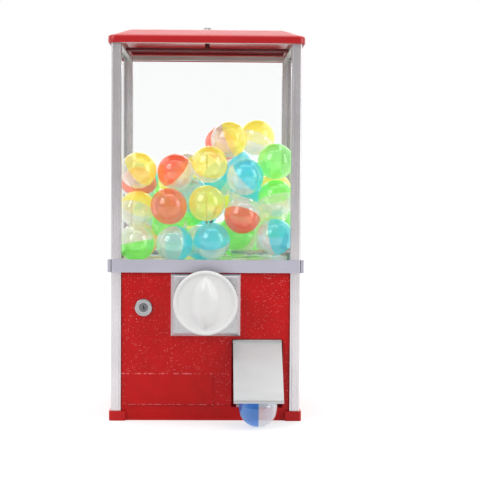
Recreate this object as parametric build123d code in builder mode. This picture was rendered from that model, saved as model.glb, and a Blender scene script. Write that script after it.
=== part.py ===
"""Counter-top capsule vending machine: post frame, clear panes, coin mechanism, capsule wheel and flap.

Origin: centre of the base plate's underside. +Z up. The customer stands on the -Y side, with +X to the right.
"""
from build123d import *
from math import cos, dist, radians, sin
import os

os.makedirs("parts", exist_ok=True)

# Driving sizes, mm
HALF = 116.0                # outer face of the posts, from the centre
POST = 12.4                 # side of a post
POST_IN = HALF - POST       # inner face of the posts
SHEET = 3.0                 # thickness of panels and panes
SHEET_MID = 112.5           # their middle plane, from the centre
SHEET_IN = SHEET_MID - SHEET / 2
SHEET_OUT = SHEET_MID + SHEET / 2
SLOT_PLAY = 0.1             # play each side of a sheet in its slot
SLOT_END = 107.6            # bottom of a post's slot, from the centre
SHEET_END = 107.4           # edge of a panel or pane
SHEET_SPLIT = 190.0         # panels end and panes begin here, behind the band
PLATE_T = 3.0               # base plate
SHOE = 12.0                 # height of the corner shoes
SHOE_LEG = 20.0
SHOE_WALL = 2.0
SHOE_FLOOR = 3.0
BAND_LOW, BAND_HIGH = 182.0, 198.0
RAIL_LOW, RAIL_HIGH, RAIL_W = 462.0, 468.0, 10.0
RAIL_GROOVE = 3.0
LID_HALF, LID_LOW, LID_EDGE, LID_TOP = 120.0, 461.0, 470.0, 480.0
LID_FLAT_HALF = 96.0
LID_T = 1.6
NUT_TOP = 494.0             # top of the thumb nut, the highest point

RUN = 0.05                  # radial clearance of every running fit
KNOB_Z = 147.0              # height of the knob's axis
KNOB_R = 39.0
SHAFT_R = 4.0
DECK_LOW, DECK_HIGH = 152.5, 156.0
WHEEL_LOW, WHEEL_HIGH, WHEEL_R = 157.0, 192.0, 105.0
POCKETS = 4
POCKET_AT, POCKET_R = 78.0, 24.5
DROP_ANGLE = -36.0          # drop hole, measured from +X
GEAR_TEETH, GEAR_R = 48, 46.0
PINION_TEETH, PINION_R = GEAR_TEETH // POCKETS, GEAR_R / POCKETS
GEAR_FACE = 7.0
TOOTH_OUT, TOOTH_IN, TOOTH_W, TOOTH_SLOPE = 1.5, 1.9, 2.4, 0.4

CAPSULE_R, CAPSULE_HALF, CAPSULE_T = 22.5, 23.2, 1.2
CAPSULE_TOUCH = 47.2        # centre distance that settling aims at, a little over one capsule

FLAP_X, FLAP_W, FLAP_LONG, FLAP_T = 63.6, 59.4, 93.0, 1.4
FLAP_TILT = 46.0            # how far the capsule under it holds the flap open
HINGE_Y, HINGE_Z, HINGE_R = -116.0, 97.5, 1.5
MOUTH_W, MOUTH_LOW, MOUTH_HIGH = 63.0, 16.0, 100.5
CHUTE_W, CHUTE_T, CHUTE_SLOPE = 48.0, 1.2, 0.45
FLAP_GAP = 2.6              # between the resting flap and the capsule under it

LOCK_X, LOCK_Z = -76.0, 139.0
CORNERS = [(-1, -1), (1, -1), (1, 1), (-1, 1)]
SIDES = {"front": ((0, -1, 0), (1, 0, 0)), "right": ((1, 0, 0), (0, 1, 0)),
         "rear": ((0, 1, 0), (-1, 0, 0)), "left": ((-1, 0, 0), (0, -1, 0))}
BASE = (Align.CENTER, Align.CENTER, Align.MIN)
DROP_X = POCKET_AT * cos(radians(DROP_ANGLE))
DROP_Y = POCKET_AT * sin(radians(DROP_ANGLE))


def finish(block, name):
    """Label a finished block and write it as one STEP file."""
    block.part.label = name
    export_step(block.part, f"parts/{name}.step")


def side_plane(side, out):
    """The upright plane that faces out of one side, with its origin at height 0."""
    normal, along = SIDES[side]
    return Plane(origin=tuple(out * n for n in normal), x_dir=along, z_dir=normal)


# Base plate, shoes and posts
BORE_AT = 109.4             # screw hole in each post, clear of both slots
with BuildPart() as base_plate:
    with BuildSketch():
        Rectangle(2 * SHEET_OUT, 2 * SHEET_OUT)
        with GridLocations(2 * SHEET_OUT, 2 * SHEET_OUT, 2, 2):
            Rectangle(2 * (SHEET_OUT - POST_IN), 2 * (SHEET_OUT - POST_IN), mode=Mode.SUBTRACT)
    extrude(amount=PLATE_T)
finish(base_plate, "base_plate")

SHOE_OUT = HALF + SHOE_WALL
with BuildPart() as corner_shoes:
    with BuildSketch():
        with GridLocations(2 * SHOE_OUT - SHOE_LEG, 2 * SHOE_OUT - SHOE_LEG, 2, 2):
            Rectangle(SHOE_LEG, SHOE_LEG)
        fillet([v for v in vertices() if min(abs(v.X), abs(v.Y)) > SHOE_OUT - 1], 3.0)
        Rectangle(2 * HALF, 2 * HALF, mode=Mode.SUBTRACT)
    extrude(amount=SHOE)
    with BuildSketch():
        with GridLocations(2 * HALF - POST, 2 * HALF - POST, 2, 2):
            Rectangle(POST, POST)
        with GridLocations(2 * BORE_AT, 2 * BORE_AT, 2, 2):
            Circle(2.0, mode=Mode.SUBTRACT)
    extrude(amount=SHOE_FLOOR)
    with GridLocations(2 * BORE_AT, 2 * BORE_AT, 2, 2):
        Cone(4.0, 2.0, 2.0, align=BASE, mode=Mode.SUBTRACT)
finish(corner_shoes, "corner_shoes")

with BuildPart() as shoe_screws:
    with GridLocations(2 * BORE_AT, 2 * BORE_AT, 2, 2):
        Cone(4.0, 2.0, 2.0, align=BASE)
        Cylinder(2.0, 18.0, align=BASE)
        Box(5.0, 1.0, 0.8, align=BASE, mode=Mode.SUBTRACT)
finish(shoe_screws, "shoe_screws")

SLOT_MID = (POST_IN + SLOT_END) / 2
for side, (sx, sy) in zip(("front_left", "front_right", "rear_right", "rear_left"), CORNERS):
    with BuildPart() as post:
        with BuildSketch(Plane.XY.offset(SHOE_FLOOR)):
            with Locations((sx * (HALF - POST / 2), sy * (HALF - POST / 2))):
                Rectangle(POST, POST)
            fillet(vertices().sort_by_distance((sx * HALF, sy * HALF, 0))[0], 2.4)
            with Locations((sx * SLOT_MID, sy * SHEET_MID)):
                Rectangle(SLOT_END - POST_IN, SHEET + 2 * SLOT_PLAY, mode=Mode.SUBTRACT)
            with Locations((sx * SHEET_MID, sy * SLOT_MID)):
                Rectangle(SHEET + 2 * SLOT_PLAY, SLOT_END - POST_IN, mode=Mode.SUBTRACT)
            with Locations((sx * (POST_IN + 2.2), sy * HALF), (sx * HALF, sy * (POST_IN + 2.2))):
                Circle(0.45, mode=Mode.SUBTRACT)
            with Locations((sx * BORE_AT, sy * BORE_AT)):
                Circle(2.0, mode=Mode.SUBTRACT)
        extrude(amount=RAIL_HIGH - SHOE_FLOOR)
    finish(post, f"post_{side}")

# Band around the middle, rails under the lid, panes
for side in SIDES:
    front = side in ("front", "rear")
    thick, length = (3.0, 2 * 114.5) if front else (4.0, 2 * HALF)
    with BuildPart() as band:
        with BuildSketch(side_plane(side, HALF)):
            with Locations((0, (BAND_LOW + BAND_HIGH) / 2)):
                Rectangle(length, BAND_HIGH - BAND_LOW)
        extrude(amount=thick)
        fillet(band.faces().sort_by(Axis((0, 0, 0), SIDES[side][0]))[-1].edges(), 0.8)
    finish(band, f"band_{side}")

RAIL_MID = HALF - 0.5 - RAIL_W / 2
with BuildPart() as top_rails:
    for side in SIDES:
        with BuildSketch(side_plane(side, RAIL_MID - RAIL_W / 2)):
            with Locations((0, (RAIL_LOW + RAIL_HIGH) / 2)):
                Rectangle(2 * POST_IN, RAIL_HIGH - RAIL_LOW)
        extrude(amount=RAIL_W)
        with BuildSketch(side_plane(side, SHEET_IN - SLOT_PLAY)):
            with Locations((0, RAIL_LOW + RAIL_GROOVE / 2)):
                Rectangle(2 * POST_IN, RAIL_GROOVE)
        extrude(amount=SHEET + 2 * SLOT_PLAY, mode=Mode.SUBTRACT)
finish(top_rails, "top_rails")

for side in SIDES:
    with BuildPart() as pane:
        with BuildSketch(side_plane(side, SHEET_IN)):
            with Locations((0, (SHEET_SPLIT + RAIL_LOW + RAIL_GROOVE) / 2)):
                Rectangle(2 * SHEET_END, RAIL_LOW + RAIL_GROOVE - SHEET_SPLIT)
        extrude(amount=SHEET)
    finish(pane, f"pane_{side}")

# Lid with its inner ledge, crossbar, stud and thumb nut
STUD_R, SPIGOT_R = 3.0, 4.0
LEDGE_IN = 104.0
with BuildPart() as lid:
    with BuildSketch(Plane.XY.offset(LID_LOW)):
        RectangleRounded(2 * LID_HALF, 2 * LID_HALF, 9.0)
    extrude(amount=LID_EDGE - LID_LOW)
    with BuildSketch(Plane.XY.offset(LID_EDGE)):
        RectangleRounded(2 * LID_HALF, 2 * LID_HALF, 9.0)
    with BuildSketch(Plane.XY.offset(LID_TOP)):
        RectangleRounded(2 * LID_FLAT_HALF, 2 * LID_FLAT_HALF, 6.0)
    loft()
    fillet(lid.faces().sort_by(Axis.Z)[-1].edges(), 1.5)
    with BuildSketch(Plane.XY.offset(LID_LOW)):
        RectangleRounded(2 * (LID_HALF - LID_T), 2 * (LID_HALF - LID_T), 7.4)
    extrude(amount=RAIL_HIGH - LID_LOW, mode=Mode.SUBTRACT)
    with BuildSketch(Plane.XY.offset(RAIL_HIGH)):
        RectangleRounded(2 * LEDGE_IN, 2 * LEDGE_IN, 4.0)
    extrude(amount=LID_T, mode=Mode.SUBTRACT)
    with BuildSketch(Plane.XY.offset(RAIL_HIGH + LID_T)):
        RectangleRounded(2 * (LID_HALF - 4.4), 2 * (LID_HALF - 4.4), 6.0)
    with BuildSketch(Plane.XY.offset(LID_TOP - LID_T)):
        RectangleRounded(2 * (LID_FLAT_HALF - 1.4), 2 * (LID_FLAT_HALF - 1.4), 5.0)
    loft(mode=Mode.SUBTRACT)
    with Locations((0, 0, LID_TOP - 4)):
        Cylinder(SPIGOT_R + RUN, 8.0, align=BASE, mode=Mode.SUBTRACT)
finish(lid, "lid")

BAR_LOW, BAR_T = 463.5, 3.0
with BuildPart() as lid_crossbar:
    with Locations((0, 0, BAR_LOW)):
        Box(2 * (RAIL_MID - RAIL_W / 2), 18.0, BAR_T, align=BASE)
        Cylinder(STUD_R, NUT_TOP - 4.0 - BAR_LOW, align=BASE)
    chamfer(lid_crossbar.faces().sort_by(Axis.Z)[-1].edges(), 0.6)
finish(lid_crossbar, "lid_crossbar")

with BuildPart() as lid_nut:
    with BuildSketch(Plane.XZ):
        with BuildLine():
            Polyline((STUD_R + 0.1, LID_TOP - 1.5), (SPIGOT_R, LID_TOP - 1.5), (SPIGOT_R, LID_TOP),
                     (7.6, LID_TOP), (7.6, LID_TOP + 1.4), (6.0, LID_TOP + 2.2), (6.0, NUT_TOP - 1.2),
                     (4.8, NUT_TOP), (0, NUT_TOP), (0, NUT_TOP - 3.5),
                     (STUD_R + 0.1, NUT_TOP - 3.5), close=True)
        make_face()
    revolve(axis=Axis.Z)
    with Locations((0, 0, LID_TOP + 3.4)):
        with PolarLocations(6.4, 18):
            Cylinder(0.8, 20.0, align=BASE, mode=Mode.SUBTRACT)
finish(lid_nut, "lid_nut")

# Front panel and the plain panels of the other three sides
PLATE_W, PLATE_LOW, PLATE_HIGH, COIN_PLATE_T = 85.0, 104.5, 180.5, 6.0
LABEL_LEFT, LABEL_RIGHT, LABEL_LOW, LABEL_HIGH = -97.2, 9.4, 19.4, 57.3
LOCK_HOLE_R = 9.0
BUSH_R = 8.0
BOSS_W, BOSS_H, BOSS_PLAY = 65.0, 63.0, 0.5     # the coin plate's back boss in the panel's cut-out
MARGIN_W, MARGIN_DEEP = 5.2, 1.0                # lower strip along a panel's upright edges
SKIRT_DEEP, LABEL_RAISED = 0.8, 0.8
PLATE_SCREW_R = 1.6
PANEL_MID_Z = (PLATE_T + SHEET_SPLIT) / 2
PLATE_SCREWS = [(sx * 37.5, z) for sx in (-1, 1) for z in (PLATE_LOW + 5.5, PLATE_HIGH - 5.5)]
with BuildPart() as front_panel:
    with BuildSketch(side_plane("front", SHEET_IN)):
        with Locations((0, PANEL_MID_Z)):
            Rectangle(2 * SHEET_END, SHEET_SPLIT - PLATE_T)
        with Locations((FLAP_X, (MOUTH_LOW + MOUTH_HIGH) / 2)):
            RectangleRounded(MOUTH_W, MOUTH_HIGH - MOUTH_LOW, 1.5, mode=Mode.SUBTRACT)
        with Locations((0, KNOB_Z)):
            Rectangle(BOSS_W + 2 * BOSS_PLAY, BOSS_H + 2 * BOSS_PLAY, mode=Mode.SUBTRACT)
        with Locations((LOCK_X, LOCK_Z)):
            Circle(LOCK_HOLE_R, mode=Mode.SUBTRACT)
        with Locations(*PLATE_SCREWS):
            Circle(2.0, mode=Mode.SUBTRACT)
    extrude(amount=SHEET)
    with BuildSketch(side_plane("front", SHEET_OUT)):
        with Locations((-POST_IN - 1, PANEL_MID_Z), (POST_IN + 1, PANEL_MID_Z)):
            Rectangle(MARGIN_W, SHEET_SPLIT - PLATE_T + 2)
    extrude(amount=-MARGIN_DEEP, mode=Mode.SUBTRACT)
    with BuildSketch(side_plane("front", SHEET_OUT)):
        with Locations(((LABEL_LEFT - 2.4 + FLAP_X - MOUTH_W / 2) / 2, (LABEL_LOW + PLATE_T) / 2 - 1)):
            Rectangle(FLAP_X - MOUTH_W / 2 - LABEL_LEFT + 2.4, LABEL_LOW - PLATE_T + 2)
    extrude(amount=-SKIRT_DEEP, mode=Mode.SUBTRACT)
    with BuildSketch(side_plane("front", SHEET_OUT)):
        with Locations(((LABEL_LEFT + LABEL_RIGHT) / 2, (LABEL_LOW + LABEL_HIGH) / 2)):
            Rectangle(LABEL_RIGHT - LABEL_LEFT, LABEL_HIGH - LABEL_LOW)
    extrude(amount=LABEL_RAISED)
finish(front_panel, "front_panel")

FIELD_W, FIELD_H, FIELD_Z, FIELD_DEEP = 170.0, 148.0, 93.0, 0.9
for side in ("right", "rear", "left"):
    with BuildPart() as panel:
        with BuildSketch(side_plane(side, SHEET_IN)):
            with Locations((0, PANEL_MID_Z)):
                Rectangle(2 * SHEET_END, SHEET_SPLIT - PLATE_T)
        extrude(amount=SHEET)
        with BuildSketch(side_plane(side, SHEET_OUT)):
            with Locations((0, FIELD_Z)):
                RectangleRounded(FIELD_W, FIELD_H, 12.0)
        extrude(amount=-FIELD_DEEP, taper=30, mode=Mode.SUBTRACT)
        with BuildSketch(side_plane(side, SHEET_OUT)):
            with Locations((-POST_IN - 1, PANEL_MID_Z), (POST_IN + 1, PANEL_MID_Z)):
                Rectangle(MARGIN_W, SHEET_SPLIT - PLATE_T + 2)
        extrude(amount=-MARGIN_DEEP, mode=Mode.SUBTRACT)
    finish(panel, f"panel_{side}")

# Deck under the wheel, the ring that fills the corners round it, and the guard over the drop hole
SLOT_X, SLOT_Y = 27.0, 11.0
POST_R, POST_FLANGE_R, POST_FLANGE_T, POST_TOP = 6.0, 14.0, 3.0, 189.5
COVER_W, COVER_H, COVER_T = 66.0, 64.0, 1.6
BRACKET_Y, BRACKET_W = -38.0, 24.0
with BuildPart() as deck:
    with BuildSketch(Plane.XY.offset(DECK_LOW)):
        Rectangle(2 * SHEET_IN, 2 * SHEET_IN)
        with GridLocations(2 * SHEET_IN, 2 * SHEET_IN, 2, 2):
            Rectangle(2 * (SHEET_IN - POST_IN), 2 * (SHEET_IN - POST_IN), mode=Mode.SUBTRACT)
        Circle(POST_R, mode=Mode.SUBTRACT)
        with Locations((0, -GEAR_R)):
            Rectangle(SLOT_X, SLOT_Y, mode=Mode.SUBTRACT)
        with Locations((0, -SHEET_IN)):
            Rectangle(COVER_W + 4.0, 2 * COVER_T + 1.2, mode=Mode.SUBTRACT)
        with Locations((DROP_X, DROP_Y)):
            Circle(POCKET_R, mode=Mode.SUBTRACT)
    extrude(amount=DECK_HIGH - DECK_LOW)
finish(deck, "deck")

RING_PLAY, RING_WALL, RING_T = 1.0, 2.0, 3.0
with BuildPart() as hopper_ring:
    with BuildSketch(Plane.XY.offset(DECK_HIGH)):
        Circle(WHEEL_R + RING_PLAY + RING_WALL)
        Circle(WHEEL_R + RING_PLAY, mode=Mode.SUBTRACT)
    extrude(amount=WHEEL_HIGH - RING_T - DECK_HIGH)
    with BuildSketch(Plane.XY.offset(WHEEL_HIGH - RING_T)):
        Rectangle(2 * SHEET_IN, 2 * SHEET_IN)
        with GridLocations(2 * SHEET_IN, 2 * SHEET_IN, 2, 2):
            Rectangle(2 * (SHEET_IN - POST_IN), 2 * (SHEET_IN - POST_IN), mode=Mode.SUBTRACT)
        Circle(WHEEL_R + RING_PLAY, mode=Mode.SUBTRACT)
    extrude(amount=RING_T)
finish(hopper_ring, "hopper_ring")

GUARD_LOW, GUARD_T, GUARD_R, ARM_W, ARM_END = 203.2, 2.0, 31.0, 26.0, 110.6
LEG_R, LEG_X, LEG_APART = 3.5, 107.0, 8.0
with BuildPart() as drop_guard:
    with BuildSketch(Plane.XY.offset(GUARD_LOW)):
        with Locations((DROP_X, DROP_Y)):
            Circle(GUARD_R)
        with Locations(((DROP_X + ARM_END) / 2, DROP_Y)):
            Rectangle(ARM_END - DROP_X, ARM_W)
    extrude(amount=GUARD_T)
    with Locations((LEG_X, DROP_Y - LEG_APART, WHEEL_HIGH), (LEG_X, DROP_Y + LEG_APART, WHEEL_HIGH)):
        Cylinder(LEG_R, GUARD_LOW - WHEEL_HIGH, align=BASE)
finish(drop_guard, "drop_guard")

# Capsule wheel on its centre post, with the crown gear on its underside
CROWN_PITCH_Z = KNOB_Z + PINION_R
CROWN_ROOT_Z = CROWN_PITCH_Z + TOOTH_IN


def tooth_points(root, tip, up):
    """A straight-sided tooth between two heights from the pitch line, with its tip up (1) or down (-1)."""
    half_root = TOOTH_W / 2 + root * TOOTH_SLOPE
    half_tip = TOOTH_W / 2 - tip * TOOTH_SLOPE
    return [(-half_root, -root * up), (-half_tip, tip * up), (half_tip, tip * up), (half_root, -root * up)]


with BuildPart() as crown_tooth:
    with BuildSketch(Plane(origin=(GEAR_R - GEAR_FACE / 2 + 0.2, 0, CROWN_PITCH_Z), x_dir=(0, 1, 0), z_dir=(1, 0, 0))):
        Polygon(*tooth_points(TOOTH_IN + 0.3, TOOTH_OUT, -1), align=None)
    extrude(amount=GEAR_FACE - 0.4)

with BuildPart() as wheel_post:
    with Locations((0, 0, DECK_LOW - POST_FLANGE_T)):
        Cylinder(POST_FLANGE_R, POST_FLANGE_T, align=BASE)
        Cylinder(POST_R, POST_TOP - DECK_LOW + POST_FLANGE_T, align=BASE)
    chamfer(wheel_post.faces().sort_by(Axis.Z)[-1].edges(), 0.8)
finish(wheel_post, "wheel_post")

WASHER_R, END_PLAY = 12.0, 0.02
with BuildPart() as thrust_washer:
    with BuildSketch(Plane.XY.offset(DECK_HIGH)):
        Circle(WASHER_R)
        Circle(POST_R, mode=Mode.SUBTRACT)
    extrude(amount=WHEEL_LOW - DECK_HIGH - END_PLAY)
finish(thrust_washer, "thrust_washer")

RECESS_IN, RECESS_OUT = GEAR_R - 4.5, GEAR_R + 4.7
TOP_T, RIB_T = 5.0, 3.0
with BuildPart() as capsule_wheel:
    with BuildSketch(Plane.XY.offset(WHEEL_LOW)):
        Circle(WHEEL_R)
        Circle(POST_R + RUN, mode=Mode.SUBTRACT)
        with PolarLocations(POCKET_AT, POCKETS, start_angle=DROP_ANGLE):
            Circle(POCKET_R, mode=Mode.SUBTRACT)
    extrude(amount=WHEEL_HIGH - WHEEL_LOW)
    chamfer([e for e in capsule_wheel.edges().filter_by(GeomType.CIRCLE)
             if e.center().Z > WHEEL_HIGH - 0.1 and abs(e.radius - POCKET_R) < 0.1], 2.0)
    with BuildSketch(Plane.XY.offset(WHEEL_LOW)):
        Circle(RECESS_OUT)
        Circle(RECESS_IN, mode=Mode.SUBTRACT)
    extrude(amount=CROWN_ROOT_Z - WHEEL_LOW, mode=Mode.SUBTRACT)
    with BuildSketch(Plane.XY.offset(WHEEL_LOW)):
        Circle(RECESS_IN - RIB_T)
        Circle(WASHER_R + 0.5, mode=Mode.SUBTRACT)
        with PolarLocations(POCKET_AT, POCKETS, start_angle=DROP_ANGLE + 180 / POCKETS):
            Circle(POCKET_R - 1.0)
    extrude(amount=WHEEL_HIGH - WHEEL_LOW - TOP_T, mode=Mode.SUBTRACT)
    with PolarLocations(0, GEAR_TEETH, start_angle=-90 + 180 / GEAR_TEETH):
        add(crown_tooth.part)
finish(capsule_wheel, "capsule_wheel")

AGITATOR_R, ROD_R, ROD_TOP, HUB_HIGH = 17.0, 1.6, 330.0, 10.0
FINGER_LOW, FINGER_HIGH, FINGER_R = (-8.9, -6.0, 196.2), (12.7, -6.0, 261.0), 2.0
with BuildPart() as agitator_finger:
    with BuildLine():
        finger_line = Line(FINGER_LOW, FINGER_HIGH)
    with BuildSketch(Plane(origin=FINGER_LOW, z_dir=finger_line % 0)):
        Circle(FINGER_R)
    sweep()
finish(agitator_finger, "agitator_finger")

with BuildPart() as agitator_hub:
    with Locations((0, 0, WHEEL_HIGH)):
        Cone(AGITATOR_R, 6.0, HUB_HIGH, align=BASE)
        Cylinder(ROD_R, HUB_HIGH, align=BASE, mode=Mode.SUBTRACT)
    add(agitator_finger.part, mode=Mode.SUBTRACT)
finish(agitator_hub, "agitator_hub")

with BuildPart() as agitator_rod:
    with Locations((0, 0, WHEEL_HIGH)):
        Cylinder(ROD_R, ROD_TOP - WHEEL_HIGH, align=BASE)
    fillet(agitator_rod.faces().sort_by(Axis.Z)[-1].edges(), 1.0)
finish(agitator_rod, "agitator_rod")

# Coin mechanism: plate, coin disc, cover, bush, shaft, pinion, knob and the guide to the cash box


def knob_plane(out):
    """The plane that faces the customer, centred on the knob's axis."""
    return Plane(origin=(0, -out, KNOB_Z), x_dir=(1, 0, 0), z_dir=(0, -1, 0))


CAVITY_R, CAVITY_DEEP = 28.6, 6.0
COIN_SLOT_W, COIN_SLOT_H, COIN_SLOT_UP = 27.0, 2.8, 26.0
SCREW_DEEP = 2.2
PLATE_FACE = SHEET_OUT + COIN_PLATE_T
with BuildPart() as coin_plate:
    with BuildSketch(side_plane("front", SHEET_OUT)):
        with Locations((0, (PLATE_LOW + PLATE_HIGH) / 2)):
            Rectangle(PLATE_W, PLATE_HIGH - PLATE_LOW)
    extrude(amount=COIN_PLATE_T)
    chamfer(coin_plate.faces().sort_by(Axis.Y)[0].edges(), 3.6)
    with BuildSketch(knob_plane(SHEET_IN)):
        Rectangle(BOSS_W, BOSS_H)
    extrude(amount=SHEET)
    with BuildSketch(knob_plane(SHEET_IN)):
        Circle(CAVITY_R)
    extrude(amount=CAVITY_DEEP, mode=Mode.SUBTRACT)
    with BuildSketch(knob_plane(SHEET_IN)):
        Circle(BUSH_R)
        with Locations((0, COIN_SLOT_UP)):
            Rectangle(COIN_SLOT_W, COIN_SLOT_H)
    extrude(amount=PLATE_FACE, mode=Mode.SUBTRACT)
    with BuildSketch(side_plane("front", SHEET_OUT)):
        with Locations(*PLATE_SCREWS):
            Circle(PLATE_SCREW_R)
    extrude(amount=SCREW_DEEP, mode=Mode.SUBTRACT)
finish(coin_plate, "coin_plate")

with BuildPart() as plate_screws:
    with BuildSketch(side_plane("front", SHEET_IN)):
        with Locations(*PLATE_SCREWS):
            Circle(PLATE_SCREW_R)
    extrude(amount=SHEET + SCREW_DEEP)
    with BuildSketch(side_plane("front", SHEET_IN)):
        with Locations(*PLATE_SCREWS):
            Circle(2 * PLATE_SCREW_R)
    extrude(amount=-2.4)
finish(plate_screws, "plate_screws")

DISC_FRONT, DISC_T, DISC_R, COIN_R, COIN_AT = 116.4, 3.6, 28.0, 12.4, 17.5
with BuildPart() as coin_disc:
    with BuildSketch(knob_plane(DISC_FRONT - DISC_T)):
        Circle(DISC_R)
        Circle(SHAFT_R, mode=Mode.SUBTRACT)
        with Locations((0, COIN_AT)):
            Circle(COIN_R, mode=Mode.SUBTRACT)
    extrude(amount=DISC_T)
finish(coin_disc, "coin_disc")

with BuildPart() as mech_cover:
    with BuildSketch(knob_plane(SHEET_IN - COVER_T)):
        Rectangle(COVER_W, COVER_H)
        Circle(SHAFT_R + RUN, mode=Mode.SUBTRACT)
        with Locations((0, -COIN_AT - 0.5)):
            Rectangle(2 * COIN_R + 2.0, 2 * COIN_R, mode=Mode.SUBTRACT)
    extrude(amount=COVER_T)
finish(mech_cover, "mech_cover")

GUIDE_W, GUIDE_DEEP, GUIDE_LOW = 32.0, 12.0, 74.0
with BuildPart() as coin_guide:
    with BuildSketch(Plane.XY.offset(GUIDE_LOW)):
        with Locations((0, -SHEET_IN + COVER_T + GUIDE_DEEP / 2)):
            Rectangle(GUIDE_W, GUIDE_DEEP)
        with Locations((0, -SHEET_IN + COVER_T + GUIDE_DEEP / 2 - 0.6)):
            Rectangle(GUIDE_W - 2.4, GUIDE_DEEP - 1.2, mode=Mode.SUBTRACT)
    extrude(amount=KNOB_Z - SHAFT_R - 0.7 - GUIDE_LOW)
finish(coin_guide, "coin_guide")

BUSH_FLANGE, KNOB_BACK, SHAFT_FRONT, SHAFT_BACK = 1.5, 122.4, 138.0, 36.3
with BuildPart() as shaft_bush:
    with BuildSketch(knob_plane(SHEET_IN + CAVITY_DEEP)):
        Circle(BUSH_R)
    extrude(amount=PLATE_FACE + BUSH_FLANGE - SHEET_IN - CAVITY_DEEP)
    with BuildSketch(knob_plane(PLATE_FACE)):
        Circle(12.0)
    extrude(amount=BUSH_FLANGE)
    with BuildSketch(knob_plane(SHEET_IN)):
        Circle(SHAFT_R + RUN)
    extrude(amount=20.0, mode=Mode.SUBTRACT)
finish(shaft_bush, "shaft_bush")

with BuildPart() as knob_shaft:
    with BuildSketch(knob_plane(SHAFT_BACK)):
        Circle(SHAFT_R)
    extrude(amount=SHAFT_FRONT - SHAFT_BACK)
    chamfer(knob_shaft.faces().sort_by(Axis.Y)[-1].edges(), 0.6)
finish(knob_shaft, "knob_shaft")

with BuildPart() as shaft_bracket:
    with BuildSketch(knob_plane(-BRACKET_Y - 2.0)):
        with Locations((0, (DECK_LOW - KNOB_Z - 9.0) / 2)):
            RectangleRounded(BRACKET_W, DECK_LOW - KNOB_Z + 9.0, 2.0)
        Circle(SHAFT_R + RUN, mode=Mode.SUBTRACT)
    extrude(amount=4.0)
    with Locations((0, BRACKET_Y + 8.0, DECK_LOW - 1.3)):
        Box(BRACKET_W, 12.5, 2.6)
finish(shaft_bracket, "shaft_bracket")

with BuildPart() as drive_pinion:
    with BuildSketch(knob_plane(GEAR_R - GEAR_FACE / 2)):
        Circle(PINION_R - TOOTH_IN)
        with PolarLocations(PINION_R, PINION_TEETH, start_angle=90):
            Polygon(*tooth_points(TOOTH_IN + 0.5, TOOTH_OUT, 1), rotation=-90, align=None)
        Circle(SHAFT_R, mode=Mode.SUBTRACT)
    extrude(amount=GEAR_FACE)
finish(drive_pinion, "drive_pinion")

KNOB_FACE, RIM_H, GRIP_TOP, GRIP_LONG, GRIP_WIDE = 143.0, 2.5, 151.5, 60.0, 32.0
with BuildPart() as knob:
    with BuildSketch(knob_plane(KNOB_BACK)):
        Circle(15.0)
    extrude(amount=10.0)
    with BuildSketch(knob_plane(KNOB_BACK + 9.0)):
        Circle(KNOB_R)
    extrude(amount=KNOB_FACE - KNOB_BACK - 9.0)
    with BuildSketch(knob_plane(KNOB_FACE)):
        Circle(KNOB_R)
        Circle(KNOB_R - 3.5, mode=Mode.SUBTRACT)
    extrude(amount=RIM_H)
    fillet(knob.edges().filter_by(lambda e: e.geom_type == GeomType.CIRCLE and e.radius > KNOB_R - 0.1), 1.6)
    with BuildSketch(knob_plane(KNOB_FACE)):
        with BuildLine():
            ThreePointArc((0, -GRIP_LONG / 2), (GRIP_WIDE / 2, 0), (0, GRIP_LONG / 2))
            ThreePointArc((0, GRIP_LONG / 2), (-GRIP_WIDE / 2, 0), (0, -GRIP_LONG / 2))
        make_face()
    extrude(amount=GRIP_TOP - KNOB_FACE, taper=24)
    with BuildSketch(knob_plane(KNOB_BACK)):
        Circle(SHAFT_R)
    extrude(amount=SHAFT_FRONT - KNOB_BACK, mode=Mode.SUBTRACT)
finish(knob, "knob")

# Cash box on the base plate
BOX_LEFT, BOX_RIGHT, BOX_FRONT, BOX_REAR, BOX_HIGH, BOX_T = -92.0, 32.0, -108.0, 20.0, 70.0, 1.2
with BuildPart() as cash_box:
    with BuildSketch(Plane.XY.offset(PLATE_T)):
        with Locations(((BOX_LEFT + BOX_RIGHT) / 2, (BOX_FRONT + BOX_REAR) / 2)):
            RectangleRounded(BOX_RIGHT - BOX_LEFT, BOX_REAR - BOX_FRONT, 6.0)
    extrude(amount=BOX_HIGH - PLATE_T)
    offset(amount=-BOX_T, openings=cash_box.faces().sort_by(Axis.Z)[-1])
finish(cash_box, "cash_box")

# Chute from the drop hole to the mouth, the frame behind the mouth, the hinge pin and the flap
CHUTE_REAR, CHUTE_FRONT, CHUTE_BEND = -21.0, -70.6, 118.0
LIP_Z = MOUTH_LOW + 1.5        # chute floor where it meets the panel


def chute_points(out):
    """The chute's side outline as Y and Z, grown by a wall's thickness."""
    rear, front = CHUTE_REAR + out, CHUTE_FRONT - out
    floor_rear = LIP_Z + CHUTE_SLOPE * (rear + SHEET_IN) - out * 1.1
    return [(rear, DECK_LOW), (rear, floor_rear), (-SHEET_IN, LIP_Z - out * 1.1),
            (-SHEET_IN, MOUTH_HIGH - 0.6 + out * 1.1), (front, CHUTE_BEND + out * 0.5), (front, DECK_LOW)]


with BuildPart() as chute:
    for grow, wide, mode in ((CHUTE_T, CHUTE_W + 2 * CHUTE_T, Mode.ADD), (0, CHUTE_W, Mode.SUBTRACT)):
        with BuildSketch(Plane.YZ.offset(FLAP_X - wide / 2)):
            Polygon(*chute_points(grow), align=None)
        extrude(amount=wide, mode=mode)
finish(chute, "chute")

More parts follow.
